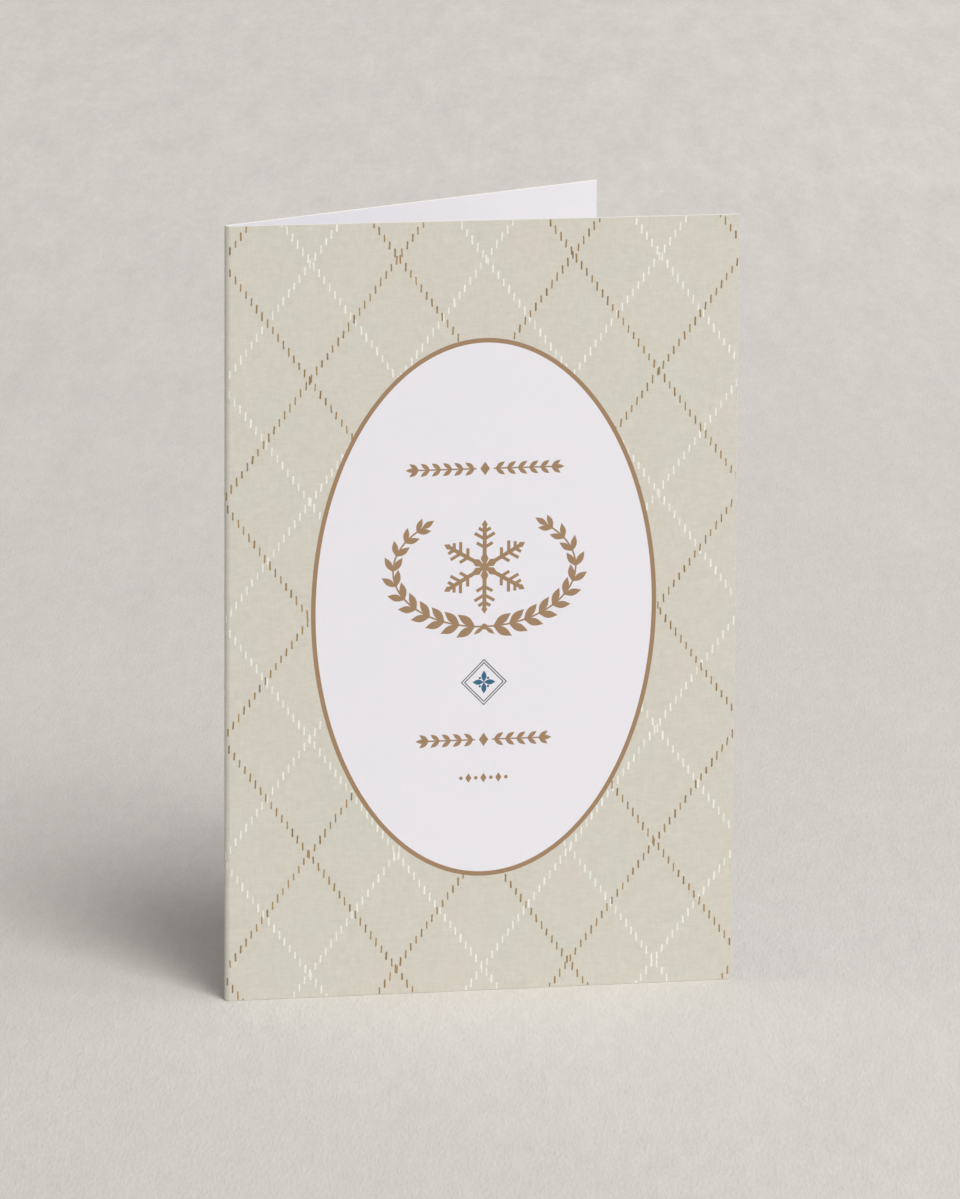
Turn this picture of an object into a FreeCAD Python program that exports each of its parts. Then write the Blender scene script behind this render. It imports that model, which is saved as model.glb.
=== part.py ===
"""Folded greeting card of heavy board, standing open on its two bottom edges.

One flat sheet is creased along its middle and folded into a front and a back panel. The crease is a
round bend: smooth on the outside, and with the bead of pushed-up fibres that a creasing rule leaves on
the inside. The cut edges are a little rounded by the knife.

Frame: millimetres, +Z up along the fold, the fold at the low X end, the open side towards +X and the
front panel on the -Y side. The origin is on the surface that the card stands on, below the middle of
the card.
"""

import FreeCAD, Part
import enum
import math
import os
import Sketcher

from FreeCAD import Vector

DRIVING_SIZES = {
    "sheet_width": 203.2,
    "sheet_height": 152.4,
    "board_thickness": 0.5,
    "fold_inner_radius": 0.55,
    "opening_angle": 32.0,
    "bead_radius": 0.3,
    "bead_rise": 0.25,
    "bead_foot_radius": 0.15,
    "cut_rounding": 0.12,
}

# Sizes that follow from the driving ones: the outer radius of the fold, the flat length of one panel
# from the end of the bend to its free edge, and where the axes of the fold and of the bead stand.
DERIVED_SIZES = {
    "half_angle": "opening_angle / 2",
    "fold_outer_radius": "fold_inner_radius + board_thickness",
    "bend_length": "(180 - opening_angle) * pi / 180 * (fold_inner_radius + board_thickness / 2)",
    "panel_length": "(sheet_width - bend_length) / 2",
    "fold_axis_x": "(fold_outer_radius - (panel_length - cut_rounding) * cos(half_angle * 1deg)"
    " + (fold_inner_radius + cut_rounding) * sin(half_angle * 1deg) - cut_rounding) / 2",
    "bead_offset": "fold_inner_radius + bead_radius - bead_rise",
}

POINT_TOLERANCE = 1e-6


class At(enum.IntEnum):
    """How a sketch constraint names a place on a line or an arc."""

    START = 1
    END = 2
    MIDDLE = 3


class Axis(enum.IntEnum):
    """How a sketch constraint names the sketch's own X axis, whose start is the origin."""

    HORIZONTAL = -1


def write_sizes(doc):
    """The spreadsheet that holds the driving sizes, in millimetres and degrees, and what follows."""
    sheet = doc.addObject("Spreadsheet::Sheet", "Sizes")
    row = 1
    for alias, value in DRIVING_SIZES.items():
        sheet.set(f"A{row}", alias)
        sheet.set(f"B{row}", str(value))
        sheet.setAlias(f"B{row}", alias)
        row += 1
    doc.recompute()
    for alias, formula in DERIVED_SIZES.items():
        sheet.set(f"A{row}", alias)
        sheet.set(f"B{row}", "=" + formula)
        sheet.setAlias(f"B{row}", alias)
        doc.recompute()
        row += 1
    return sheet


def origin_plane(body, role):
    """One of the body's own three base planes."""
    for feature in body.Origin.OriginFeatures:
        if feature.Role == role:
            return feature
    raise RuntimeError(f"no base plane {role}")


def section_points(size):
    """The places where the parts of the card's outline meet, seen from above, for the front half.

    The front half lies below the X axis. Its mirror image is the back half.
    """
    half = math.radians(size("half_angle"))
    along = Vector(math.cos(half), -math.sin(half), 0)
    outward = Vector(-math.sin(half), -math.cos(half), 0)
    fold = Vector(size("fold_axis_x"), 0, 0)
    inner = size("fold_inner_radius")
    outer = size("fold_outer_radius")
    foot = size("bead_foot_radius")
    bead = size("bead_radius")
    length = size("panel_length")
    offset = size("bead_offset")
    reach = inner - foot
    spread = bead + foot
    turn = math.acos((reach**2 + offset**2 - spread**2) / (2 * reach * offset))
    towards_foot = Vector(-math.cos(turn), -math.sin(turn), 0)
    foot_centre = fold + towards_foot * reach
    bead_centre = fold - Vector(offset, 0, 0)
    towards_bead = (bead_centre - foot_centre).normalize()
    return {
        "fold": fold,
        "outer_start": fold + outward * outer,
        "outer_end": fold + outward * outer + along * length,
        "inner_end": fold + outward * inner + along * length,
        "inner_start": fold + outward * inner,
        "foot_start": fold + towards_foot * inner,
        "foot_centre": foot_centre,
        "foot_end": foot_centre + towards_bead * foot,
        "bead_centre": bead_centre,
    }


def mirrored(point):
    """The same place on the back half."""
    return Vector(point.x, -point.y, point.z)


def arc_between(centre, start, end):
    """The arc about centre that runs anticlockwise from start to end."""
    radius = (start - centre).Length
    circle = Part.Circle(centre, Vector(0, 0, 1), radius)
    first = math.atan2(start.y - centre.y, start.x - centre.x)
    last = math.atan2(end.y - centre.y, end.x - centre.x)
    if last < first:
        last += 2 * math.pi
    return Part.ArcOfCircle(circle, first, last)


def draw_outline(sketch, at):
    """The closed outline of the card from above. Gives the index of each part of it by name."""
    back = {name: mirrored(point) for name, point in at.items()}
    parts = {
        "fold_outer": arc_between(at["fold"], back["outer_start"], at["outer_start"]),
        "front_outer": Part.LineSegment(at["outer_start"], at["outer_end"]),
        "front_edge": Part.LineSegment(at["outer_end"], at["inner_end"]),
        "front_inner": Part.LineSegment(at["inner_end"], at["inner_start"]),
        "front_bend": arc_between(at["fold"], at["foot_start"], at["inner_start"]),
        "front_foot": arc_between(at["foot_centre"], at["foot_end"], at["foot_start"]),
        "bead": arc_between(at["bead_centre"], at["foot_end"], back["foot_end"]),
        "back_foot": arc_between(back["foot_centre"], back["foot_start"], back["foot_end"]),
        "back_bend": arc_between(at["fold"], back["inner_start"], back["foot_start"]),
        "back_inner": Part.LineSegment(back["inner_start"], back["inner_end"]),
        "back_edge": Part.LineSegment(back["inner_end"], back["outer_end"]),
        "back_outer": Part.LineSegment(back["outer_end"], back["outer_start"]),
    }
    return {name: sketch.addGeometry(part, False) for name, part in parts.items()}


def join_ends(sketch, index):
    """Tangent joints round the bend and its bead, and plain ones at the four corners."""
    joints = [
        ("fold_outer", At.END, "front_outer", At.START),
        ("front_inner", At.END, "front_bend", At.END),
        ("front_bend", At.START, "front_foot", At.END),
        ("front_foot", At.START, "bead", At.START),
        ("bead", At.END, "back_foot", At.END),
        ("back_foot", At.START, "back_bend", At.END),
        ("back_bend", At.START, "back_inner", At.START),
        ("back_outer", At.END, "fold_outer", At.START),
    ]
    corners = [
        ("front_outer", "front_edge"),
        ("front_edge", "front_inner"),
        ("back_inner", "back_edge"),
        ("back_edge", "back_outer"),
    ]
    for first, first_end, second, second_end in joints:
        sketch.addConstraint(
            Sketcher.Constraint("Tangent", index[first], first_end, index[second], second_end)
        )
    for first, second in corners:
        sketch.addConstraint(
            Sketcher.Constraint("Coincident", index[first], At.END, index[second], At.START)
        )
        sketch.addConstraint(Sketcher.Constraint("Perpendicular", index[first], index[second]))


def constrain_outline(sketch, index, size):
    """The fixed centres, the two directions and every length of the outline, bound to the sizes."""
    def bound(constraint, name, formula):
        number = sketch.addConstraint(constraint)
        sketch.renameConstraint(number, name)
        sketch.setExpression(f"Constraints.{name}", formula)

    for name in ("front_bend", "back_bend"):
        sketch.addConstraint(
            Sketcher.Constraint("Coincident", index["fold_outer"], At.MIDDLE, index[name], At.MIDDLE)
        )
    for name in ("fold_outer", "bead"):
        sketch.addConstraint(
            Sketcher.Constraint("PointOnObject", index[name], At.MIDDLE, Axis.HORIZONTAL)
        )
    bound(
        Sketcher.Constraint(
            "DistanceX", Axis.HORIZONTAL, At.START, index["fold_outer"], At.MIDDLE, size("fold_axis_x")
        ),
        "fold_axis",
        "Sizes.fold_axis_x * 1mm",
    )
    bound(
        Sketcher.Constraint(
            "DistanceX", index["bead"], At.MIDDLE, index["fold_outer"], At.MIDDLE, size("bead_offset")
        ),
        "bead_axis",
        "Sizes.bead_offset * 1mm",
    )
    radii = [
        ("fold_outer", "fold_outer_radius"),
        ("front_bend", "fold_inner_radius"),
        ("bead", "bead_radius"),
        ("front_foot", "bead_foot_radius"),
        ("back_foot", "bead_foot_radius"),
    ]
    for name, alias in radii:
        bound(
            Sketcher.Constraint("Radius", index[name], size(alias)),
            f"{name}_radius",
            f"Sizes.{alias} * 1mm",
        )
    for panel, sense in (("front", -1), ("back", 1)):
        line = index[f"{panel}_outer"]
        near, far = (At.START, At.END) if panel == "front" else (At.END, At.START)
        bound(
            Sketcher.Constraint("Distance", line, size("panel_length")),
            f"{panel}_length",
            "Sizes.panel_length * 1mm",
        )
        half_gap = size("panel_length") * math.sin(math.radians(size("half_angle")))
        bound(
            Sketcher.Constraint("DistanceY", line, near, line, far, sense * half_gap),
            f"{panel}_lean",
            f"{sense} * Sizes.panel_length * sin(Sizes.half_angle * 1deg) * 1mm",
        )


def build_section(doc, body, size):
    """The card seen from above, as one closed outline in the plane that the card stands on."""
    sketch = body.newObject("Sketcher::SketchObject", "section")
    sketch.AttachmentSupport = [(origin_plane(body, "XY_Plane"), "")]
    sketch.MapMode = "FlatFace"
    index = draw_outline(sketch, section_points(size))
    join_ends(sketch, index)
    constrain_outline(sketch, index, size)
    doc.recompute()
    return sketch


def cut_edges(shape, free_edge_x):
    """The names of the edges round the bottom and the top, and of the four upright free ones."""
    names = []
    for number, edge in enumerate(shape.Edges, start=1):
        box = edge.BoundBox
        level = box.ZMax - box.ZMin < POINT_TOLERANCE
        if level or box.XMin > free_edge_x:
            names.append(f"Edge{number}")
    return names


def build_card(doc, size):
    """The folded board, raised from its outline and eased along its cut edges."""
    body = doc.addObject("PartDesign::Body", "card_body")
    section = build_section(doc, body, size)
    board = body.newObject("PartDesign::Pad", "board")
    board.Profile = section
    board.setExpression("Length", "Sizes.sheet_height * 1mm")
    doc.recompute()
    eased = body.newObject("PartDesign::Fillet", "eased_edges")
    middle_of_panel = size("fold_axis_x") + size("panel_length") / 2
    eased.Base = (board, cut_edges(board.Shape, middle_of_panel))
    eased.setExpression("Radius", "Sizes.cut_rounding * 1mm")
    doc.recompute()
    body.Tip = eased
    body.Label = "card"
    doc.recompute()
    return body


def check_states(doc):
    """Stops where any feature of the document failed to build."""
    for item in doc.Objects:
        if "Invalid" in item.State or "Error" in item.State:
            raise RuntimeError(f"{item.Name} failed: {item.State}")


def main():
    doc = FreeCAD.newDocument("greeting_card")
    sheet = write_sizes(doc)

    def size(alias):
        value = sheet.get(alias)
        return float(getattr(value, "Value", value))

    body = build_card(doc, size)
    check_states(doc)
    shape = body.Shape
    if shape.isNull() or not shape.isValid() or len(shape.Solids) != 1:
        raise RuntimeError("the card is not one sound solid")
    os.makedirs("parts", exist_ok=True)
    shape.exportStep("parts/card.step")
    box = shape.BoundBox
    print("card", round(box.XLength, 3), round(box.YLength, 3), round(box.ZLength, 3))
    print("centre", round(box.Center.x, 4), round(box.Center.y, 4), "low", round(box.ZMin, 4))
    print("volume", round(shape.Volume, 1), "faces", len(shape.Faces))


main()
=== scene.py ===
"""Folded greeting card: white board, a beige cover with an argyle of stitches and an oval panel.

The board is one closed mesh. Its outer face is cut into flat fields, one for each colour of the print,
and every field has a material of its own. Lengths are in metres and named for what they measure.
"""

import bisect
import math
import random

import bpy
from mathutils import Matrix, Vector
from mathutils.geometry import delaunay_2d_cdt


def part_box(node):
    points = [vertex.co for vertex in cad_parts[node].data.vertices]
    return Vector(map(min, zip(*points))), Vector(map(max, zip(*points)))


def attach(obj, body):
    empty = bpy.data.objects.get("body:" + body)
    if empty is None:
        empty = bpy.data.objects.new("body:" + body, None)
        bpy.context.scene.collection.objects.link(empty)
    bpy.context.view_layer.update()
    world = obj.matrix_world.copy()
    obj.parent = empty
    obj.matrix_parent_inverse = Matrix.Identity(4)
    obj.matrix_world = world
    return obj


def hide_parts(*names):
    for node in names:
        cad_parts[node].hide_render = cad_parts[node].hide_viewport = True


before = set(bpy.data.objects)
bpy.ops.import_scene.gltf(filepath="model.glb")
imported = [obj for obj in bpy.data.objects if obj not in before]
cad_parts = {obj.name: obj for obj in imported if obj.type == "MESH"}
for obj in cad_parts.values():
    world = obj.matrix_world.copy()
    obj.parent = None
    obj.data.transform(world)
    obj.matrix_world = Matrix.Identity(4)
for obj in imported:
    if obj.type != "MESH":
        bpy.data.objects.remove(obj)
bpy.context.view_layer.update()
CAD_LOW, CAD_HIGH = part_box("card")

MM = 0.001
QUARTER = math.pi / 2

# The sheet and its fold, as in the solid model.
SHEET_WIDTH = 203.2 * MM
SHEET_HEIGHT = CAD_HIGH[2] - CAD_LOW[2]
BOARD = 0.5 * MM
FOLD_INNER = 0.55 * MM
OPENING = math.radians(32.0)
BEAD_RADIUS = 0.3 * MM
BEAD_RISE = 0.25 * MM
BEAD_FOOT = 0.15 * MM
CUT_ROUNDING = 0.12 * MM

FOLD_OUTER = FOLD_INNER + BOARD
HALF_OPENING = OPENING / 2
HALF_BEND = QUARTER - HALF_OPENING
PANEL = (SHEET_WIDTH - 2 * HALF_BEND * (FOLD_INNER + BOARD / 2)) / 2
FOLD_X = CAD_LOW[0] + FOLD_OUTER

# Lengths along the unrolled cover, from the middle of the fold.
BEND_REACH = FOLD_OUTER * HALF_BEND
PRINT_REACH = BEND_REACH + PANEL - CUT_ROUNDING
PRINT_FROM_BEND = 50.2 * MM
PRINT_CENTRE = BEND_REACH + PRINT_FROM_BEND

# How finely the round parts are divided.
BEND_STEPS = 18
INNER_BEND_STEPS = 6
FOOT_STEPS = 4
HALF_BEAD_STEPS = 5
ROUNDING_STEPS = 4
OVAL_STEPS = 240
DISC_STEPS = 28
LEAF_STEPS = 10
WREATH_STEM_STEPS = 40


def steps(first, last, count):
    """count + 1 even values from first to last."""
    return [first + (last - first) * i / count for i in range(count + 1)]


class Place:
    """Directions and places in the plan of the folded sheet."""

    centre = Vector((FOLD_X, 0, 0))

    @staticmethod
    def outward(angle):
        """From the fold's axis, where angle turns from -X towards the front panel."""
        return Vector((-math.cos(angle), -math.sin(angle), 0))

    @staticmethod
    def along(side):
        """Away from the fold, in the front panel for side 1 and in the back panel for side -1."""
        return Vector((math.cos(HALF_OPENING), -side * math.sin(HALF_OPENING), 0))

    @classmethod
    def on_cover(cls, u, height):
        """The place and the direction out of the sheet at u along the unrolled outer face."""
        side = 1 if u > 0 else -1
        angle = max(-HALF_BEND, min(HALF_BEND, u / FOLD_OUTER))
        past_bend = max(0.0, abs(u) - BEND_REACH)
        out = cls.outward(angle)
        place = cls.centre + out * FOLD_OUTER + cls.along(side) * past_bend
        return place + Vector((0, 0, height)), out

    @staticmethod
    def unrolled(surface):
        """How far along the unrolled bend a place inside it lies."""
        return math.atan2(-surface.y, FOLD_X - surface.x) * FOLD_OUTER


class Station:
    """A point of the card's plan: the middle of its edge rounding, and the direction out of the sheet."""

    def __init__(self, surface, out, u, part, across=0.0):
        self.core = surface - out * CUT_ROUNDING
        self.out = out
        self.u = u
        self.part = part
        self.across = across

    def at(self, turn, top):
        """The place and normal at turn round the cut edge, from 0 on the face to a right angle."""
        rise = CUT_ROUNDING * (math.sin(turn) - 1)
        height = SHEET_HEIGHT + rise if top else -rise
        place = self.core + self.out * (CUT_ROUNDING * math.cos(turn))
        up = math.sin(turn) if top else -math.sin(turn)
        normal = self.out * math.cos(turn) + Vector((0, 0, up))
        return Vector((place.x, place.y, height)), normal.normalized()

    def mirrored(self):
        """The same station on the back half."""
        out = Vector((self.out.x, -self.out.y, 0))
        surface = self.core + self.out * CUT_ROUNDING
        return Station(Vector((surface.x, -surface.y, 0)), out, -self.u, self.part, self.across)


def cover_stations():
    """The outer face from the back panel's free edge round the bend to the front panel's."""
    us = [-PRINT_REACH] + steps(-BEND_REACH, BEND_REACH, BEND_STEPS) + [PRINT_REACH]
    stations = []
    for u in us:
        surface, out = Place.on_cover(u, 0)
        stations.append(Station(surface, out, u, "cover"))
    return stations


def edge_stations(side):
    """A free edge from its cover side to its inner side: two rounded corners and the flat between."""
    cover = Place.outward(side * HALF_BEND)
    forward = Place.along(side)
    end = Place.centre + forward * (PANEL - CUT_ROUNDING)
    near = end + cover * (FOLD_OUTER - CUT_ROUNDING)
    far = end + cover * (FOLD_INNER + CUT_ROUNDING)
    corner = CUT_ROUNDING * QUARTER
    flat = BOARD - 2 * CUT_ROUNDING
    stations = []
    for turn in steps(0, QUARTER, ROUNDING_STEPS):
        out = cover * math.cos(turn) + forward * math.sin(turn)
        across = CUT_ROUNDING * turn
        stations.append(Station(near + out * CUT_ROUNDING, out, side * PRINT_REACH, "edge", across))
    for turn in steps(0, QUARTER, ROUNDING_STEPS):
        out = forward * math.cos(turn) - cover * math.sin(turn)
        across = corner + flat + CUT_ROUNDING * turn
        stations.append(Station(far + out * CUT_ROUNDING, out, side * PRINT_REACH, "edge", across))
    return stations


def inner_half():
    """The inner face of the front half, from the free edge to the crest of the crease's bead."""
    cover = Place.outward(HALF_BEND)
    end = Place.centre + cover * FOLD_INNER + Place.along(1) * (PANEL - CUT_ROUNDING)
    stations = [Station(end, -cover, PRINT_REACH, "inner")]

    # the foot is an arc that touches the bend on one side and the bead on the other
    foot_reach = FOLD_INNER - BEAD_FOOT
    bead_reach = FOLD_INNER + BEAD_RADIUS - BEAD_RISE
    apart = BEAD_RADIUS + BEAD_FOOT
    foot_turn = math.acos((foot_reach**2 + bead_reach**2 - apart**2) / (2 * foot_reach * bead_reach))
    foot = Place.centre + Place.outward(foot_turn) * foot_reach
    bead = Place.centre - Vector((bead_reach, 0, 0))
    for angle in steps(HALF_BEND, foot_turn, INNER_BEND_STEPS):
        out = Place.outward(angle)
        surface = Place.centre + out * FOLD_INNER
        stations.append(Station(surface, -out, angle * FOLD_OUTER, "inner"))

    start = Place.outward(foot_turn)
    to_bead = bead - foot
    first = math.atan2(start.y, start.x)
    last = math.atan2(to_bead.y, to_bead.x)
    last += 2 * math.pi * round((first - last) / (2 * math.pi))
    for angle in steps(first, last, FOOT_STEPS)[1:]:
        out = Vector((math.cos(angle), math.sin(angle), 0))
        surface = foot + out * BEAD_FOOT
        stations.append(Station(surface, -out, Place.unrolled(surface), "inner"))

    first = math.atan2(-to_bead.y, -to_bead.x)
    for angle in steps(first, 0, HALF_BEAD_STEPS)[1:]:
        out = Vector((math.cos(angle), math.sin(angle), 0))
        surface = bead + out * BEAD_RADIUS
        stations.append(Station(surface, out, Place.unrolled(surface), "inner"))
    return stations


# Corners nearer than this are one.
MERGE_DISTANCE = 1e-7
PLAIN_TONE = 0.5


class Shell:
    """Collects the closed mesh: shared corners with their normals, and faces with what they wear."""

    def __init__(self):
        self.corners = []
        self.normals = []
        self.index = {}
        self.faces = []
        self.wears = []
        self.tones = []
        self.maps = []

    def corner(self, place, normal):
        """The number of the corner at place."""
        key = tuple(round(value / MERGE_DISTANCE) for value in place)
        if key not in self.index:
            self.index[key] = len(self.corners)
            self.corners.append(place)
            self.normals.append(normal)
        return self.index[key]

    def face(self, corners, wears, spots, tone=PLAIN_TONE):
        """A face, unless its corners have run together. spots are its places on the flat map."""
        kept = {}
        for number, spot in zip(corners, spots, strict=True):
            kept.setdefault(number, spot)
        if len(kept) < 3:
            return
        self.faces.append(list(kept))
        self.maps.append(list(kept.values()))
        self.wears.append(wears)
        self.tones.append(tone)


# The flat map for the card's colours, in points, MAP_SIDE along each side. It holds the
# front largest.
MAP_SIDE = 1024
MAP_GAP = 8
FRONT_SCALE = 6.1 / MM
PLAIN_SCALE = 2.1 / MM
EDGE_STRIP = 24
RIM_STRIP = 20
FRONT_CORNER = (MAP_GAP, MAP_GAP)
FRONT_LENGTH = FRONT_SCALE * (PRINT_REACH + BEND_REACH)
COLUMN_X = FRONT_LENGTH + 2 * MAP_GAP
PLAIN_RISE = PLAIN_SCALE * SHEET_HEIGHT + MAP_GAP
EDGE_CORNER = (COLUMN_X + PLAIN_SCALE * (PRINT_REACH + BEND_REACH) + 2 * MAP_GAP, 4 * MAP_GAP)
EDGE_WIDTH = BOARD + (math.pi - 2) * CUT_ROUNDING
RIM_Y = FRONT_CORNER[1] + FRONT_SCALE * SHEET_HEIGHT + MAP_GAP
# How much of the strip of the top or bottom edge each of its two roundings takes up.
ROUNDED_SHARE = 0.32


def map_spot(x, y):
    """A place on the flat map, from points of its side to a share of it."""
    return (x / MAP_SIDE, y / MAP_SIDE)


def cover_spot(u, height, front):
    """Where a place of the outer face lies on the flat map."""
    if front:
        x = FRONT_CORNER[0] + FRONT_SCALE * (u + BEND_REACH)
        return map_spot(x, FRONT_CORNER[1] + FRONT_SCALE * height)
    x = COLUMN_X + PLAIN_SCALE * (u + PRINT_REACH)
    return map_spot(x, MAP_GAP + PLAIN_SCALE * height)


def inner_spot(u, height, front):
    """Where a place of the inner face lies on the flat map."""
    y = MAP_GAP + PLAIN_RISE * (2 if front else 1) + PLAIN_SCALE * height
    return map_spot(COLUMN_X + PLAIN_SCALE * (PRINT_REACH - abs(u)), y)


def edge_spot(across, rise, front):
    """Where a place of a free edge lies on the flat map. rise runs on round the corners."""
    x = EDGE_CORNER[0] + EDGE_STRIP * across / EDGE_WIDTH + (EDGE_STRIP + MAP_GAP) * (0 if front else 1)
    return map_spot(x, EDGE_CORNER[1] + PLAIN_SCALE * rise)


def rim_spot(u, across, top):
    """Where a place of the top or bottom edge lies on the flat map. across goes from 0 to 1."""
    x = FRONT_CORNER[0] + FRONT_LENGTH * (u + PRINT_REACH) / (2 * PRINT_REACH)
    y = RIM_Y + RIM_STRIP * across + (RIM_STRIP + MAP_GAP) * (1 if top else 0)
    return map_spot(x, y)


# The cover's ink reaches over so many of the steps round a cut edge.
INKED_STEPS = 2
TURNS = steps(0, QUARTER, ROUNDING_STEPS)
INKED_TURN = (TURNS[INKED_STEPS] + TURNS[INKED_STEPS + 1]) / 2


def inked(first, second):
    """Whether the cover's ink is on the sheet here. It reaches partly round the free edge."""
    if first.part == "edge":
        return max(first.across, second.across) < CUT_ROUNDING * INKED_TURN
    return first.part == "cover"


def add_rounding(shell, first, second, top):
    """The rounded cut edge between two neighbouring stations. The ink reaches partly round it."""
    for low, high in zip(TURNS, TURNS[1:], strict=False):
        wears = "cover" if inked(first, second) and high < INKED_TURN else "edge"
        ring = [(first, low), (second, low), (second, high), (first, high)]
        corners, spots = [], []
        for station, turn in ring:
            corners.append(shell.corner(*station.at(turn, top)))
            if station.part == "edge":
                rise = SHEET_HEIGHT + CUT_ROUNDING * turn if top else -CUT_ROUNDING * turn
                spots.append(edge_spot(station.across, rise, station.u > 0))
                continue
            across = ROUNDED_SHARE * (turn / QUARTER)
            if station.part == "inner":
                across = 1 - across
            spots.append(rim_spot(station.u, across, top))
        if not top:
            corners.reverse()
            spots.reverse()
        shell.face(corners, wears, spots)


def add_side(shell, first, second):
    """The upright face between two neighbouring stations of an edge or of the inner face."""
    low, high = CUT_ROUNDING, SHEET_HEIGHT - CUT_ROUNDING
    corners, spots = [], []
    front = first.u + second.u > 0
    for station, top, height in (
        (first, False, low),
        (second, False, low),
        (second, True, high),
        (first, True, high),
    ):
        corners.append(shell.corner(*station.at(0, top)))
        if station.part == "edge":
            spots.append(edge_spot(station.across, height, front))
        else:
            spots.append(inner_spot(station.u, height, front))
    plain = "edge" if first.part == "edge" else "board"
    shell.face(corners, "cover" if inked(first, second) else plain, spots)


def add_rim(shell, cover, inner, top):
    """The narrow flat at the top or bottom, zipped between the cover's and the inner face's edges."""
    i = j = 0
    while i < len(cover) - 1 or j < len(inner) - 1:
        step_cover = j == len(inner) - 1
        if i < len(cover) - 1 and j < len(inner) - 1:
            on_cover = (cover[i + 1].core - inner[j].core).length
            on_inner = (cover[i].core - inner[j + 1].core).length
            step_cover = on_cover < on_inner
        trio = [(cover[i], ROUNDED_SHARE), (inner[j], 1 - ROUNDED_SHARE)]
        if step_cover:
            i += 1
            trio.append((cover[i], ROUNDED_SHARE))
        else:
            j += 1
            trio.append((inner[j], 1 - ROUNDED_SHARE))
        corners = [shell.corner(*station.at(QUARTER, top)) for station, _ in trio]
        spots = [rim_spot(station.u, across, top) for station, across in trio]
        a, b, c = (shell.corners[number] for number in corners)
        faces_up = (b - a).cross(c - a).z > 0
        if faces_up != top:
            corners.reverse()
            spots.reverse()
        shell.face(corners, "edge", spots)


class Artwork:
    """The print's outlines in the unrolled cover, each with its ink and its tone."""

    def __init__(self):
        self.shapes = []

    def add(self, points, ink, tone=PLAIN_TONE):
        """An outline given in the print's own middle, right and up."""
        middle = SHEET_HEIGHT / 2
        self.shapes.append(([(PRINT_CENTRE + x, middle + y) for x, y in points], ink, tone))


def ellipse(x, y, half_width, half_height, count):
    """The points of an ellipse, anticlockwise."""
    turns = [2 * math.pi * i / count for i in range(count)]
    return [(x + half_width * math.cos(t), y + half_height * math.sin(t)) for t in turns]


def disc(x, y, radius):
    """A small round dot."""
    return ellipse(x, y, radius, radius, DISC_STEPS)


def turned(points, angle, x=0.0, y=0.0):
    """The same points turned about the origin and then moved."""
    c, s = math.cos(angle), math.sin(angle)
    return [(x + c * px - s * py, y + s * px + c * py) for px, py in points]


def bar(x0, y0, x1, y1, width):
    """A straight bar with square ends."""
    length = math.hypot(x1 - x0, y1 - y0)
    half = width / 2
    box = [(0, -half), (length, -half), (length, half), (0, half)]
    return turned(box, math.atan2(y1 - y0, x1 - x0), x0, y0)


def lozenge(x, y, half_width, half_height):
    """A diamond."""
    return [(x + half_width, y), (x, y + half_height), (x - half_width, y), (x, y - half_height)]


# How slowly a leaf swells from its ends. 1 is a sine's half wave.
LEAF_HOLLOW = 1.15


def leaf(x, y, angle, length, width):
    """A pointed leaf from its stalk at x, y."""
    upper = [
        (length * t, width / 2 * math.sin(math.pi * t) ** LEAF_HOLLOW) for t in steps(0, 1, LEAF_STEPS)
    ]
    lower = [(px, -py) for px, py in reversed(upper[1:-1])]
    return turned([*reversed(upper), *reversed(lower)], angle, x, y)


# The oval panel. This and all that is printed is measured from the print's middle, right and up.
OVAL_HALF_WIDTH = 34.4 * MM
OVAL_HALF_HEIGHT = 53.2 * MM
OVAL_BORDER = 0.9 * MM

# The lattice. Its lines cross each other in columns a half width apart.
SEED = 12
LATTICE_LINES = range(-12, 13)
LATTICE_HALF_WIDTH = 17.3 * MM
LATTICE_HALF_HEIGHT = 23.38 * MM
LATTICE_TOP_ROW = 68.98 * MM
LINE_SHIFT = 0.22 * MM
LINE_WANDER = 0.15 * MM

# Its stitches: their own sizes, and the range that each stitch draws from. Width, length and shoulder
# are shares, the lean is in radians and the drifts are in millimetres.
STITCH_PITCH = 1.045 * MM
STITCH_WIDTH = 0.345 * MM
STITCH_LENGTH = 1.66 * MM
WIDTH_RANGE = (0.82, 1.14)
LENGTH_RANGE = (0.86, 1.1)
LEAN_RANGE = (-0.08, 0.06)
SIDE_DRIFT_RANGE = (-0.04, 0.04)
UP_DRIFT_RANGE = (-0.07, 0.07)
SHOULDER_RANGE = (0.7, 0.85)
# The half widths at a stitch's waist and at its four end corners, as shares of its own.
STITCH_WAIST = 0.9
STITCH_ENDS = (0.55, 0.45, 0.55, 0.5)

# How near they come to the end of the print, the least of one that is drawn there, and how far the
# middle of one may lie under the oval's border.
PRINT_MARGIN = 0.05 * MM
LEAST_HEIGHT = 0.3 * MM
LEAST_WIDTH = 0.1 * MM
UNDER_BORDER = 0.4 * MM


def stitch(x, y, rng):
    """One upright stitch, a little uneven as thread is."""
    half_width = STITCH_WIDTH / 2 * rng.uniform(*WIDTH_RANGE)
    half_length = STITCH_LENGTH / 2 * rng.uniform(*LENGTH_RANGE)
    lean = rng.uniform(*LEAN_RANGE)
    dx = rng.uniform(*SIDE_DRIFT_RANGE) * MM
    dy = rng.uniform(*UP_DRIFT_RANGE) * MM
    shoulder = half_length * rng.uniform(*SHOULDER_RANGE)
    low_right, high_right, high_left, low_left = STITCH_ENDS
    outline = [
        (low_right * half_width, -half_length),
        (half_width, -shoulder),
        (STITCH_WAIST * half_width, 0),
        (half_width, shoulder),
        (high_right * half_width, half_length),
        (-high_left * half_width, half_length),
        (-half_width, shoulder),
        (-STITCH_WAIST * half_width, 0),
        (-half_width, -shoulder),
        (-low_left * half_width, -half_length),
    ]
    return turned(outline, lean, x + dx, y + dy)


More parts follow.
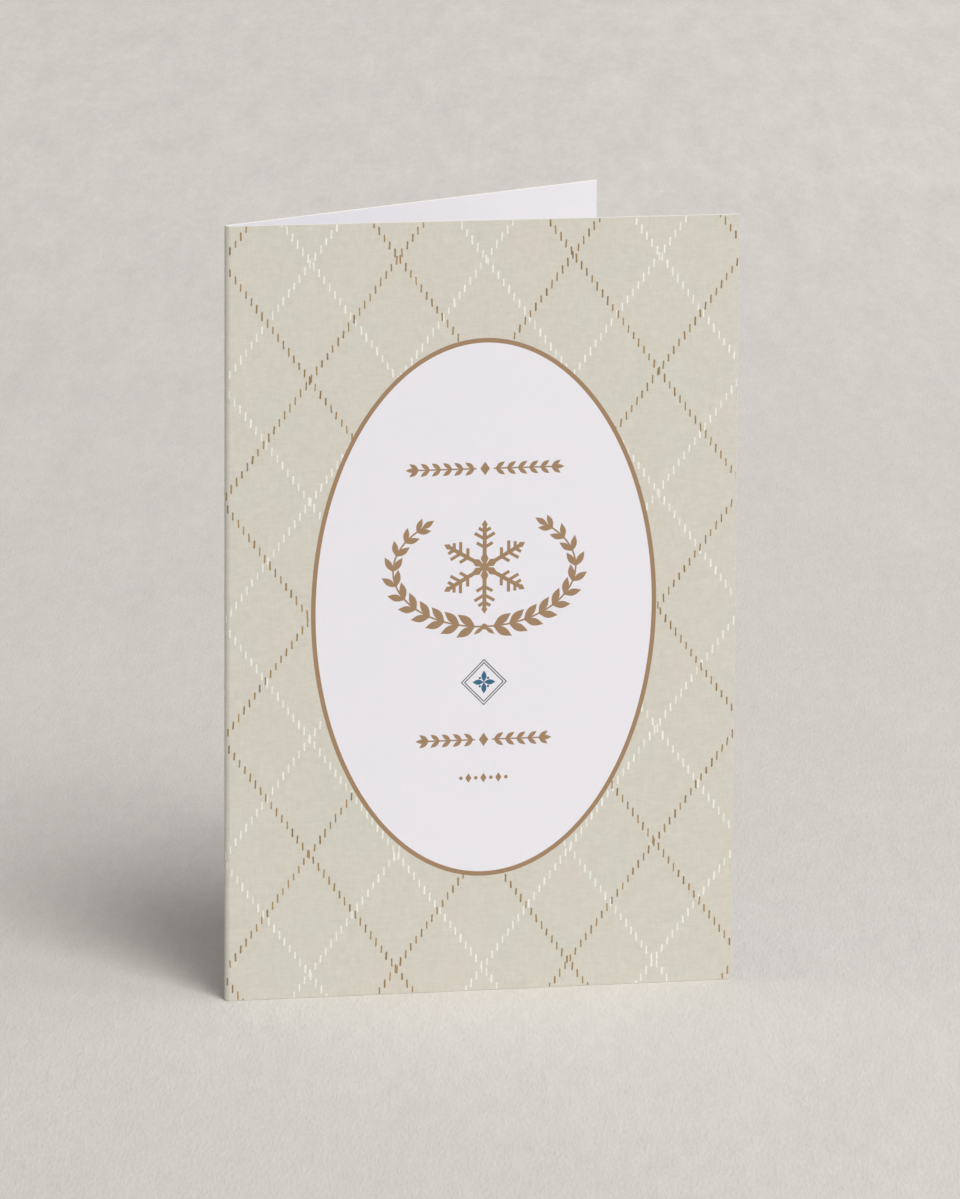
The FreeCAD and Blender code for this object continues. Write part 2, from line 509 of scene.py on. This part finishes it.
def trimmed(points, axis, limit, side):
    """The part of an outline above a limit along one axis, or below it where side is -1."""
    kept = []
    for before, point in zip([points[-1], *points], points, strict=False):
        depth_before = side * (before[axis] - limit)
        depth = side * (point[axis] - limit)
        if (depth_before < 0) != (depth < 0):
            share = depth_before / (depth_before - depth)
            kept.append(tuple(b + (p - b) * share for b, p in zip(before, point, strict=True)))
        if depth >= 0:
            kept.append(point)
    return kept


def clear_of_oval(x, y):
    """Whether a stitch with its middle here shows beside the oval's border."""
    across = x / (OVAL_HALF_WIDTH - UNDER_BORDER)
    return math.hypot(across, y / (OVAL_HALF_HEIGHT - UNDER_BORDER)) > 1


def draw_lattice(art):
    """Two sets of slanting rows of stitches, brown and white by turns."""
    rng = random.Random(SEED)
    left = -PRINT_CENTRE
    right = PRINT_REACH - PRINT_CENTRE
    top = SHEET_HEIGHT / 2 - CUT_ROUNDING
    slope = LATTICE_HALF_HEIGHT / LATTICE_HALF_WIDTH
    for number in LATTICE_LINES:
        ink = "stitch_brown" if number % 2 else "stitch_white"
        shift = LINE_SHIFT if number % 2 else -LINE_SHIFT
        for sense in (1, -1):
            start = rng.uniform(0, STITCH_PITCH)
            wander = rng.uniform(-LINE_WANDER, LINE_WANDER)
            count = int((right - left) / STITCH_PITCH) + 1
            for k in range(count):
                x = left + start + k * STITCH_PITCH
                run = sense * (x - number * LATTICE_HALF_WIDTH)
                y = LATTICE_TOP_ROW + shift + wander + slope * run
                # the outlines are drawn for every place, so that each stitch keeps its own shape
                outline = stitch(x, y, rng)
                tone = rng.random()
                if not clear_of_oval(x, y):
                    continue
                xs = [p[0] for p in outline]
                ys = [p[1] for p in outline]
                if min(xs) < left + PRINT_MARGIN or max(ys) < -top + LEAST_HEIGHT:
                    continue
                if min(ys) > top - LEAST_HEIGHT or min(xs) > right - LEAST_WIDTH:
                    continue
                outline = trimmed(outline, 0, right - PRINT_MARGIN, -1)
                outline = trimmed(outline, 1, top - PRINT_MARGIN, -1)
                art.add(trimmed(outline, 1, PRINT_MARGIN - top, 1), ink, tone)


def draw_oval(art):
    """The panel and its border."""
    art.add(ellipse(0, 0, OVAL_HALF_WIDTH, OVAL_HALF_HEIGHT, OVAL_STEPS), "gold")
    inner_width = OVAL_HALF_WIDTH - OVAL_BORDER
    inner_height = OVAL_HALF_HEIGHT - OVAL_BORDER
    art.add(ellipse(0, 0, inner_width, inner_height, OVAL_STEPS), "panel")


# The heights of the ornaments above the print's middle, from the top one down.
UPPER_SPRIGS_Y = 27.6 * MM
CRYSTAL_Y = 8.2 * MM
WREATH_Y = 7.8 * MM
FLOWER_Y = -14.6 * MM
LOWER_SPRIGS_Y = -26.0 * MM
DOTS_Y = -33.6 * MM

UPPER_SPRIGS_REACH = 15.8 * MM
UPPER_SPRIGS_PAIRS = 6
LOWER_SPRIGS_REACH = 13.6 * MM
LOWER_SPRIGS_PAIRS = 5
SPRIG_GAP = 1.7 * MM
SPRIG_STEM = 0.3 * MM
SPRIG_LEAF = 2.3 * MM
SPRIG_LEAF_WIDTH = 0.85 * MM
SPRIG_LEAF_TURN = 0.6
SPRIG_START = 0.35 * MM
SPRIG_DIAMOND = (0.95 * MM, 1.35 * MM)


def draw_sprigs(art, y, reach, pairs):
    """Two sprigs with pairs of leaves, which grow away from a diamond between them."""
    tip = reach - SPRIG_LEAF
    for side, outwards in ((-1, math.pi), (1, 0.0)):
        art.add(bar(side * SPRIG_GAP, y, side * (tip + SPRIG_LEAF / 4), y, SPRIG_STEM), "gold")
        for x in steps(SPRIG_GAP + SPRIG_START, tip - SPRIG_START, pairs - 1):
            for turn in (-SPRIG_LEAF_TURN, SPRIG_LEAF_TURN):
                art.add(leaf(side * x, y, outwards + turn, SPRIG_LEAF, SPRIG_LEAF_WIDTH), "gold")
        art.add(leaf(side * tip, y, outwards, SPRIG_LEAF, SPRIG_LEAF_WIDTH), "gold")
    art.add(lozenge(0, y, *SPRIG_DIAMOND), "gold")


# The crystal. Its other lengths are shares of its radius.
CRYSTAL_RADIUS = 9.2 * MM
ARM_WIDTH = 0.085 * CRYSTAL_RADIUS
ARM_LENGTH = 0.9 * CRYSTAL_RADIUS
ARM_TIP = (0.91 * CRYSTAL_RADIUS, 0, 0.1 * CRYSTAL_RADIUS, 0.065 * CRYSTAL_RADIUS)
ARM_FOOT = (0.18 * CRYSTAL_RADIUS, 0, 0.18 * CRYSTAL_RADIUS, 0.085 * CRYSTAL_RADIUS)
TWIG_WIDTH = 0.8 * ARM_WIDTH
TWIG_TURN = math.pi / 3
TWIGS = ((0.42, 0.2), (0.6, 0.25), (0.76, 0.15))


def draw_crystal(art):
    """A plain six-armed ice crystal. TWIGS gives each pair's place on the arm and its length."""
    arm = [bar(0, 0, ARM_LENGTH, 0, ARM_WIDTH), lozenge(*ARM_TIP)]
    for place, length in TWIGS:
        for side in (-1, 1):
            twig = bar(0, 0, length * CRYSTAL_RADIUS, 0, TWIG_WIDTH)
            arm.append(turned(twig, side * TWIG_TURN, place * CRYSTAL_RADIUS, 0))
    arm.append(lozenge(*ARM_FOOT))
    for number in range(6):
        for outline in arm:
            art.add(turned(outline, QUARTER + number * math.pi / 3, 0, CRYSTAL_Y), "gold")


# The wreath. The leaves' places along a branch are shares of its length.
WREATH_HALF_WIDTH = 18.2 * MM
WREATH_HALF_HEIGHT = 11.4 * MM
WREATH_START = math.radians(-94)
WREATH_END = math.radians(50)
WREATH_STEM = 0.34 * MM
STEM_OVERLAP = 1.1
WREATH_PAIRS = 11
FIRST_PAIR = 0.085
LAST_PAIR = 0.94
TIP_LEAF = 0.97
WREATH_LEAF = 4.1 * MM
LEAF_AT_START = 1.08
LEAF_LOSS = 0.38
LEAF_SLIMNESS = 0.38
LEAF_TURN = 0.56
TIP_LENGTH = 0.75 * WREATH_LEAF
TIP_WIDTH = 0.28 * WREATH_LEAF
TIE_LEAF = 2.6 * MM
TIE_LEAF_WIDTH = 0.8 * MM
TIE_TURN = 2.2
KNOT_RADIUS = 0.6 * MM


def draw_branch(art, side):
    """Half of a wreath: a stem on an ellipse from below the crystal upwards, with pairs of leaves."""
    line = []
    for t in steps(0, 1, WREATH_STEM_STEPS):
        turn = WREATH_START + (WREATH_END - WREATH_START) * t
        x = side * WREATH_HALF_WIDTH * math.cos(turn)
        line.append((x, WREATH_Y + WREATH_HALF_HEIGHT * math.sin(turn)))
    marks = [0.0]
    for (x0, y0), (x1, y1) in zip(line, line[1:], strict=False):
        marks.append(marks[-1] + math.hypot(x1 - x0, y1 - y0))
        reach_x, reach_y = STEM_OVERLAP * (x1 - x0), STEM_OVERLAP * (y1 - y0)
        art.add(bar(x0, y0, x0 + reach_x, y0 + reach_y, WREATH_STEM), "gold")

    def add_leaf(share, turn, length, width):
        k = bisect.bisect(marks, share * marks[-1]) - 1
        (x0, y0), (x1, y1) = line[k], line[k + 1]
        part = (share * marks[-1] - marks[k]) / (marks[k + 1] - marks[k])
        angle = math.atan2(y1 - y0, x1 - x0) + turn
        art.add(leaf(x0 + (x1 - x0) * part, y0 + (y1 - y0) * part, angle, length, width), "gold")

    for share in steps(FIRST_PAIR, LAST_PAIR, WREATH_PAIRS - 1):
        length = WREATH_LEAF * (LEAF_AT_START - LEAF_LOSS * share)
        for turn in (-LEAF_TURN, LEAF_TURN):
            add_leaf(share, turn, length, length * LEAF_SLIMNESS)
    add_leaf(TIP_LEAF, 0, TIP_LENGTH, TIP_WIDTH)


def draw_tie(art):
    """A knot with two short leaves where the branches cross."""
    y = WREATH_Y - WREATH_HALF_HEIGHT
    for side in (-1, 1):
        art.add(leaf(0, y, QUARTER - side * TIE_TURN, TIE_LEAF, TIE_LEAF_WIDTH), "gold")
    art.add(disc(0, y, KNOT_RADIUS), "gold")


# The flower in its frame. The frame's squares lie over each other from the largest.
FRAME_SQUARES = (
    (4.6 * MM, "grey"),
    (4.32 * MM, "panel"),
    (3.98 * MM, "grey"),
    (3.7 * MM, "panel"),
)
PETAL = 2.3 * MM
PETAL_WIDTH = 1.05 * MM
FLOWER_DOT_REACH = 1.15 * MM
FLOWER_DOT_RADIUS = 0.24 * MM


def draw_flower(art):
    """A double square set on its corner, with a four-petalled flower and four dots in it."""
    for half, ink in FRAME_SQUARES:
        art.add(lozenge(0, FLOWER_Y, half, half), ink)
    for k in range(4):
        art.add(leaf(0, FLOWER_Y, k * QUARTER, PETAL, PETAL_WIDTH), "blue")
    for k in range(4):
        dot = disc(FLOWER_DOT_REACH, 0, FLOWER_DOT_RADIUS)
        art.add(turned(dot, math.pi / 4 + k * QUARTER, 0, FLOWER_Y), "blue")


DOT_COUNT = 7
DOT_PITCH = 1.5 * MM
DOT_RADIUS = 0.36 * MM
DOT_DIAMOND = (0.62 * MM, 0.95 * MM)


def draw_dots(art):
    """A short row of dots and diamonds by turns, with a diamond in its middle."""
    middle = DOT_COUNT // 2
    for k in range(DOT_COUNT):
        x = (k - middle) * DOT_PITCH
        if k % 2 == middle % 2:
            art.add(lozenge(x, DOTS_Y, *DOT_DIAMOND), "gold")
        else:
            art.add(disc(x, DOTS_Y, DOT_RADIUS), "gold")


def make_artwork():
    """Everything that is printed on the front."""
    art = Artwork()
    draw_lattice(art)
    draw_oval(art)
    draw_sprigs(art, UPPER_SPRIGS_Y, UPPER_SPRIGS_REACH, UPPER_SPRIGS_PAIRS)
    draw_crystal(art)
    for side in (-1, 1):
        draw_branch(art, side)
    draw_tie(art)
    draw_flower(art)
    draw_sprigs(art, LOWER_SPRIGS_Y, LOWER_SPRIGS_REACH, LOWER_SPRIGS_PAIRS)
    draw_dots(art)
    return art


# The stitches' inks, from the one below to the one above. All others lie over both.
STITCH_INKS = ("stitch_white", "stitch_brown")
# How far off two points of the print may lie and be one, in millimetres.
CUT_TOLERANCE = 1e-6


def pick_ink(art, covering):
    """The ink that shows where several shapes lie over each other, and its tone."""
    inks = {k: art.shapes[k][1] for k in covering}
    over_stitches = [k for k, ink in inks.items() if ink not in STITCH_INKS]
    if over_stitches:
        shown = max(over_stitches)
    elif inks:
        shown = max(inks, key=lambda k: STITCH_INKS.index(inks[k]))
    else:
        return "cover", PLAIN_TONE
    return inks[shown], art.shapes[shown][2]


def add_cover(shell, stations, art):
    """The outer face, cut along the print's outlines and along the lines of the bend."""
    low, high = CUT_ROUNDING, SHEET_HEIGHT - CUT_ROUNDING
    points = [(s.u, low) for s in stations] + [(s.u, high) for s in stations]
    count = len(stations)
    edges = [(k, k + 1) for k in range(count - 1)]
    edges += [(count + k, count + k + 1) for k in range(count - 1)]
    edges += [(k, count + k) for k in range(count)]
    faces = []
    for outline, _, _ in art.shapes:
        first = len(points)
        points += outline
        faces.append(list(range(first, len(points))))
    scaled = [Vector((x / MM, y / MM)) for x, y in points]
    found, _, pieces, _, _, covering = delaunay_2d_cdt(scaled, edges, faces, 0, CUT_TOLERANCE)
    places = [(p.x * MM, p.y * MM) for p in found]
    for piece, over in zip(pieces, covering, strict=True):
        middle = sum(places[k][0] for k in piece) / len(piece)
        front = middle > -BEND_REACH
        ink, tone = pick_ink(art, over)
        corners = [shell.corner(*Place.on_cover(*places[k])) for k in piece]
        spots = [cover_spot(*places[k], front) for k in piece]
        shell.face(corners, ink, spots, tone)


def build_shell(art):
    """The whole card as one closed surface."""
    shell = Shell()
    cover = cover_stations()
    half = inner_half()
    inner = half + [station.mirrored() for station in reversed(half[:-1])]
    add_cover(shell, cover, art)
    for loop in (cover, edge_stations(1), inner, list(reversed(edge_stations(-1)))):
        for first, second in zip(loop, loop[1:], strict=False):
            if first.part != "cover":
                add_side(shell, first, second)
            for top in (False, True):
                add_rounding(shell, first, second, top)
    for top in (False, True):
        add_rim(shell, cover, list(reversed(inner)), top)
    return shell


def linear(red, green, blue):
    """A colour as Blender mixes it, from its 0 to 255 screen values."""
    channels = []
    for value in (red, green, blue):
        v = value / 255
        channels.append(v / 12.92 if v <= 0.04045 else ((v + 0.055) / 1.055) ** 2.4)
    return (*channels, 1.0)


# The sockets of a colour's Mix node, which hold other kinds of value too.
MIX_FACTOR, MIX_FIRST, MIX_SECOND, MIX_RESULT = 0, 6, 7, 2


class Wear:
    """A node material in the making."""

    def __init__(self, name, roughness, specular):
        self.material = bpy.data.materials.new(name)
        self.material.use_nodes = True
        self.tree = self.material.node_tree
        self.shader = self.tree.nodes["Principled BSDF"]
        self.shader.inputs["Roughness"].default_value = roughness
        self.shader.inputs["Specular IOR Level"].default_value = specular
        coordinates = self.tree.nodes.new("ShaderNodeTexCoord")
        self.place = coordinates.outputs["Object"]

    def put(self, socket, value):
        """Another node's output or a plain value into a socket."""
        if isinstance(value, bpy.types.NodeSocket):
            self.tree.links.new(value, socket)
        else:
            socket.default_value = value

    def stretched(self, x, y, z):
        """The object's own coordinates, in stretched millimetres."""
        mapping = self.tree.nodes.new("ShaderNodeMapping")
        mapping.inputs["Scale"].default_value = (x / MM, y / MM, z / MM)
        self.tree.links.new(self.place, mapping.inputs["Vector"])
        return mapping.outputs["Vector"]

    def turned_place(self, unit):
        """The object's own coordinates to the right and away from the front, each in its unit."""
        mapping = self.tree.nodes.new("ShaderNodeMapping")
        mapping.vector_type = "TEXTURE"
        mapping.inputs["Rotation"].default_value = (0, 0, CAMERA_AZIMUTH)
        mapping.inputs["Scale"].default_value = unit
        self.tree.links.new(self.place, mapping.inputs["Vector"])
        return mapping.outputs["Vector"]

    def noise(self, feature, detail=2.0, stretch=(1, 1, 1), roughness=0.5, place=None):
        """Noise about 0.5 whose blotches measure about feature millimetres."""
        made = self.tree.nodes.new("ShaderNodeTexNoise")
        made.inputs["Scale"].default_value = 1 / feature
        made.inputs["Detail"].default_value = detail
        made.inputs["Roughness"].default_value = roughness
        self.tree.links.new(place or self.stretched(*stretch), made.inputs["Vector"])
        return made.outputs["Fac"]

    def maths(self, operation, first, second):
        """Two numbers, or two nodes' outputs, put together."""
        made = self.tree.nodes.new("ShaderNodeMath")
        made.operation = operation
        self.put(made.inputs[0], first)
        self.put(made.inputs[1], second)
        return made.outputs[0]

    def sway(self, value, amount):
        """Value about 0.5 to 1 plus or minus amount."""
        centred = self.maths("SUBTRACT", value, 0.5)
        scaled = self.maths("MULTIPLY", centred, 2 * amount)
        return self.maths("ADD", scaled, 1.0)

    def kept_to_one(self, value):
        """The value kept between 0 and 1."""
        return self.maths("MINIMUM", self.maths("MAXIMUM", value, 0.0), 1.0)

    def blend(self, factor, first, second):
        """From the first colour to the second as factor goes from 0 to 1."""
        made = self.tree.nodes.new("ShaderNodeMix")
        made.data_type = "RGBA"
        self.put(made.inputs[MIX_FACTOR], factor)
        self.put(made.inputs[MIX_FIRST], first)
        self.put(made.inputs[MIX_SECOND], second)
        return made.outputs[MIX_RESULT]

    def tinted(self, factor, tints):
        """A blend of two tints given in screen values."""
        first, second = tints
        return self.blend(factor, linear(*first), linear(*second))

    def shaded(self, colour, factor):
        """The colour made lighter or darker by factor."""
        made = self.tree.nodes.new("ShaderNodeVectorMath")
        made.operation = "SCALE"
        self.put(made.inputs[0], colour)
        self.put(made.inputs["Scale"], factor)
        return made.outputs[0]

    def colour(self, value):
        """The surface's own colour."""
        self.put(self.shader.inputs["Base Color"], value)

    def bump(self, height, depth):
        """Relief of depth millimetres."""
        made = self.tree.nodes.new("ShaderNodeBump")
        made.inputs["Distance"].default_value = depth * MM
        self.put(made.inputs["Height"], height)
        self.tree.links.new(made.outputs["Normal"], self.shader.inputs["Normal"])


# The two tints that each colour of the card wanders between, in 0 to 255 screen values.
BOARD_TINTS = ((235, 233, 237), (233, 232, 238))
# The cut edges are lighter than the board's face, a painted highlight along them, over the warmer tint of
# the core.
EDGE_CORE_AND_HIGHLIGHT_TINTS = ((246, 243, 239), (236, 233, 227))
COVER_TINTS = ((212, 204, 193), (204, 205, 193))
PANEL_TINTS = ((232, 230, 236), (230, 229, 237))
GOLD_TINTS = ((166, 136, 104), (151, 122, 91))
GREY_TINTS = ((92, 94, 102), (74, 76, 86))
BLUE_TINTS = ((58, 110, 142), (44, 92, 124))
BROWN_STITCH_TINTS = ((176, 149, 104), (128, 106, 66))
WHITE_STITCH_TINTS = ((240, 240, 234), (223, 222, 215))

# How far the grain makes an ink lighter or darker, and how much a stitch's own tone counts.
INK_SWAY = 0.05
TONE_SHARE = 0.6


def paper_tooth(wear, depth):
    """The fine relief of uncoated card, fibres and pores."""
    pores = wear.noise(feature=0.16, detail=3.0)
    fibres = wear.noise(feature=0.5, detail=3.0, stretch=(1, 1, 3))
    wear.bump(wear.maths("ADD", pores, fibres), depth)


def board_material():
    """White uncoated card, as on the inside."""
    wear = Wear("white_board", roughness=0.72, specular=0.3)
    cloudy = wear.noise(feature=9.0)
    fine = wear.noise(feature=0.45, detail=3.0, stretch=(1, 1, 2))
    wear.colour(wear.shaded(wear.tinted(cloudy, BOARD_TINTS), wear.sway(fine, amount=0.018)))
    paper_tooth(wear, depth=0.012)
    return wear.material


def edge_and_highlight_material():
    """The cut edge of the board: its core in thin layers, a little warmer than its face, and lighter than
    it as a painted highlight.
    """
    wear = Wear("cut_edge_painted_highlight", roughness=0.8, specular=0.25)
    layers = wear.noise(feature=0.3, detail=3.0, stretch=(0.1, 0.1, 2))
    wear.colour(wear.tinted(layers, EDGE_CORE_AND_HIGHLIGHT_TINTS))
    paper_tooth(wear, depth=0.015)
    return wear.material


def cover_material():
    """The beige field: flat ink with the look of a fine undyed cloth."""
    wear = Wear("cover_beige", roughness=0.66, specular=0.3)
    cloudy = wear.noise(feature=14.0)
    upright = wear.noise(feature=0.5, detail=3.0, stretch=(1, 1, 0.3))
    level = wear.noise(feature=0.5, detail=3.0, stretch=(0.25, 0.25, 1))
    blotch = wear.noise(feature=2.2, detail=4.0, roughness=0.65)
    cloth = wear.maths("MULTIPLY", wear.sway(upright, amount=0.06), wear.sway(level, amount=0.08))
    cloth = wear.maths("MULTIPLY", cloth, wear.sway(blotch, amount=0.06))
    wear.colour(wear.shaded(wear.tinted(cloudy, COVER_TINTS), cloth))
    paper_tooth(wear, depth=0.012)
    return wear.material


def panel_material():
    """The pale panel inside the oval."""
    wear = Wear("panel_white", roughness=0.64, specular=0.3)
    cloudy = wear.noise(feature=12.0)
    fine = wear.noise(feature=0.4, detail=3.0)
    wear.colour(wear.shaded(wear.tinted(cloudy, PANEL_TINTS), wear.sway(fine, amount=0.01)))
    paper_tooth(wear, depth=0.01)
    return wear.material


def ink_material(name, tints):
    """A printed colour that wanders between its tints over the fine grain of the card."""
    wear = Wear(name, roughness=0.6, specular=0.35)
    grain = wear.noise(feature=0.3, detail=3.0)
    slow = wear.noise(feature=6.0)
    mixed = wear.maths("MULTIPLY", wear.maths("ADD", grain, slow), 0.5)
    wear.colour(wear.shaded(wear.tinted(mixed, tints), wear.sway(grain, INK_SWAY)))
    paper_tooth(wear, depth=0.01)
    return wear.material


def stitch_material(name, tints):
    """A printed stitch: each has a tone of its own, and its thread goes lighter and darker."""
    wear = Wear(name, roughness=0.62, specular=0.3)
    tone = wear.tree.nodes.new("ShaderNodeAttribute")
    tone.attribute_name = "tone"
    thread = wear.noise(feature=0.5, stretch=(1, 1, 0.8))
    own = wear.maths("MULTIPLY", tone.outputs["Fac"], TONE_SHARE)
    own = wear.maths("ADD", own, -TONE_SHARE / 2)
    wear.colour(wear.tinted(wear.maths("ADD", own, thread), tints))
    paper_tooth(wear, depth=0.01)
    return wear.material


def make_materials():
    """Every ink and the bare board, by name."""
    return {
        "board": board_material(),
        "edge": edge_and_highlight_material(),
        "cover": cover_material(),
        "panel": panel_material(),
        "gold": ink_material("gold_brown_ink", GOLD_TINTS),
        "grey": ink_material("grey_ink", GREY_TINTS),
        "blue": ink_material("blue_ink", BLUE_TINTS),
        "stitch_brown": stitch_material("brown_stitch", BROWN_STITCH_TINTS),
        "stitch_white": stitch_material("white_stitch", WHITE_STITCH_TINTS),
    }


def make_card(materials):
    """The card as a Blender object that stands for the solid."""
    shell = build_shell(make_artwork())
    mesh = bpy.data.meshes.new("folded_card")
    mesh.from_pydata(shell.corners, [], shell.faces)
    names = list(materials)
    for name in names:
        mesh.materials.append(materials[name])
    own_map = mesh.uv_layers.new(name="OFBake")
    tones = mesh.attributes.new("tone", "FLOAT", "FACE")
    for polygon, wears, spots, tone in zip(
        mesh.polygons, shell.wears, shell.maps, shell.tones, strict=True
    ):
        polygon.material_index = names.index(wears)
        polygon.use_smooth = True
        tones.data[polygon.index].value = tone
        for loop, spot in zip(polygon.loop_indices, spots, strict=True):
            own_map.data[loop].uv = spot
    mesh.validate()
    mesh.normals_split_custom_set_from_vertices(shell.normals)
    card = bpy.data.objects.new("folded_card", mesh)
    bpy.context.scene.collection.objects.link(card)
    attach(card, "root")
    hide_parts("card")


# The camera, from a fit to the card's corners in the photograph. Its focal length and the height of the
# image are in pixels of the photograph.
IMAGE_HEIGHT = 1199
FOCAL_PIXELS = 8401
SENSOR = 36.0
CAMERA_AZIMUTH = math.radians(-28.49)
CAMERA_ELEVATION = math.radians(10.32)
CAMERA_ROLL = math.radians(0.33)
CAMERA_DISTANCE = 1.648
CAMERA_AIM = Vector((5.61, -3.17, 75.61)) * MM

# The light: a key of two suns over each other, a weak fill and the sky.
LAMP_COLOUR = (1.0, 0.99, 0.98)
KEY_AZIMUTH = CAMERA_AZIMUTH + math.radians(26)
KEY_ELEVATIONS = (math.radians(40), math.radians(59))
KEY_SPREAD = math.radians(24)
KEY_STRENGTH = 1.13
FILL_AZIMUTH = CAMERA_AZIMUTH + math.radians(70)
FILL_ELEVATION = math.radians(22)
FILL_DISTANCE = 0.65
FILL_SIZE = 0.35
FILL_POWER = 0.6
SKY_STRENGTH = 0.34

# The floor. Its tints are in 0 to 255 screen values, near at the card and far from FLOOR_DEPTH behind it,
# and they go from left to right over FLOOR_WIDTH. The left ones are darker than the right: painted light
# and shade, as if lit from the right.
FLOOR_REACH = 12.0
FLOOR_DEPTH = 1.2
FLOOR_WIDTH = 0.3
FLOOR_NEAR_LEFT = (211, 208, 203)
FLOOR_NEAR_RIGHT = (218, 214, 209)
FLOOR_FAR_LEFT = (220, 216, 211)
FLOOR_FAR_RIGHT = (228, 223, 218)
# How its grain is drawn out away from the camera, how far each kind shades the tint, and its relief in
# millimetres.
FLOOR_STRETCH = 4.5
FAR_WIDENING = 2.0
FAR_STRETCH = 8.0
CLOUD_SWAY = 0.04
PATCH_SWAY = 0.09
GRIT_SWAY = 0.07
FAR_SWAY = 0.3
FLOOR_RELIEF = 0.2


def towards(azimuth, elevation):
    """The direction from the card to a lamp or camera. Azimuth 0 looks along +Y."""
    level = math.cos(elevation)
    return Vector((math.sin(azimuth) * level, -math.cos(azimuth) * level, math.sin(elevation)))


def make_floor():
    """A plain pale floor like fine plaster, a touch lighter further off, and lighter to the right with
    painted light, as if lit from there.
    """
    r = FLOOR_REACH
    mesh = bpy.data.meshes.new("floor")
    mesh.from_pydata([(-r, -r, 0), (r, -r, 0), (r, r, 0), (-r, r, 0)], [], [(0, 1, 2, 3)])
    wear = Wear("floor", roughness=0.9, specular=0.15)
    split = wear.tree.nodes.new("ShaderNodeSeparateXYZ")
    wear.tree.links.new(wear.turned_place((1, 1, 1)), split.inputs[0])
    further = wear.kept_to_one(wear.maths("DIVIDE", split.outputs["Y"], FLOOR_DEPTH))
    # painted light and shade: the tint goes from darker on the left to lighter on the right
    across = wear.maths("DIVIDE", split.outputs["X"], FLOOR_WIDTH)
    painted_light_across = wear.kept_to_one(wear.maths("ADD", across, 0.5))
    left = wear.tinted(further, (FLOOR_NEAR_LEFT, FLOOR_FAR_LEFT))
    right = wear.tinted(further, (FLOOR_NEAR_RIGHT, FLOOR_FAR_RIGHT))
    tone = wear.blend(painted_light_across, left, right)

    drawn_out = wear.turned_place((MM, FLOOR_STRETCH * MM, MM))
    far_out = wear.turned_place((FAR_WIDENING * MM, FAR_WIDENING * FAR_STRETCH * MM, MM))
    cloud = wear.noise(feature=22.0, detail=3.0, place=drawn_out)
    patch = wear.noise(feature=3.2, detail=5.0, roughness=0.7, place=drawn_out)
    grit = wear.noise(feature=0.7, detail=3.0, roughness=0.6, place=drawn_out)
    far_patch = wear.noise(feature=5.0, detail=6.0, roughness=0.75, place=far_out)
    grain = wear.maths("MULTIPLY", wear.sway(cloud, CLOUD_SWAY), wear.sway(patch, PATCH_SWAY))
    grain = wear.maths("MULTIPLY", grain, wear.sway(grit, GRIT_SWAY))
    deep = wear.maths("MULTIPLY", wear.maths("SUBTRACT", far_patch, 0.5), further)
    deep = wear.maths("MULTIPLY", deep, FAR_SWAY)
    grain = wear.maths("MULTIPLY", grain, wear.maths("ADD", deep, 1.0))
    wear.colour(wear.shaded(tone, grain))
    wear.bump(wear.maths("ADD", patch, grit), FLOOR_RELIEF)
    mesh.materials.append(wear.material)
    floor = bpy.data.objects.new("floor", mesh)
    bpy.context.scene.collection.objects.link(floor)


def aim(lamp, direction):
    """A lamp object that shines from that direction."""
    made = bpy.data.objects.new(lamp.name, lamp)
    made.rotation_mode = "QUATERNION"
    made.rotation_quaternion = direction.to_track_quat("Z", "Y")
    bpy.context.scene.collection.objects.link(made)
    return made


def make_light():
    """A tall soft key from the front right, a weak fill close to the right, and an even sky."""
    for number, elevation in enumerate(KEY_ELEVATIONS):
        lamp = bpy.data.lights.new(f"key_{number}", "SUN")
        lamp.energy = KEY_STRENGTH
        lamp.angle = KEY_SPREAD
        lamp.color = LAMP_COLOUR
        aim(lamp, towards(KEY_AZIMUTH, elevation))
    lamp = bpy.data.lights.new("fill", "AREA")
    lamp.shape = "DISK"
    lamp.size = FILL_SIZE
    lamp.energy = FILL_POWER
    direction = towards(FILL_AZIMUTH, FILL_ELEVATION)
    fill = aim(lamp, direction)
    fill.location = Vector((0, 0, SHEET_HEIGHT / 2)) + direction * FILL_DISTANCE
    fill.visible_camera = False
    world = bpy.data.worlds.new("sky")
    world.use_nodes = True
    bpy.context.scene.world = world
    background = world.node_tree.nodes["Background"]
    background.inputs["Color"].default_value = (*LAMP_COLOUR, 1.0)
    background.inputs["Strength"].default_value = SKY_STRENGTH


def make_camera():
    """The camera of the photograph."""
    lens = bpy.data.cameras.new("camera")
    lens.sensor_width = SENSOR
    lens.lens = FOCAL_PIXELS / IMAGE_HEIGHT * SENSOR
    lens.clip_end = 4 * FLOOR_REACH
    camera = bpy.data.objects.new("camera", lens)
    back = towards(CAMERA_AZIMUTH, CAMERA_ELEVATION)
    right = Vector((math.cos(CAMERA_AZIMUTH), math.sin(CAMERA_AZIMUTH), 0))
    up = back.cross(right)
    c, s = math.cos(CAMERA_ROLL), math.sin(CAMERA_ROLL)
    axes = Matrix((c * right + s * up, c * up - s * right, back)).transposed()
    camera.matrix_world = Matrix.Translation(CAMERA_AIM + back * CAMERA_DISTANCE) @ axes.to_4x4()
    bpy.context.scene.collection.objects.link(camera)
    bpy.context.scene.camera = camera


make_card(make_materials())
make_floor()
make_light()
make_camera()
bpy.context.scene.view_settings.view_transform = "Standard"
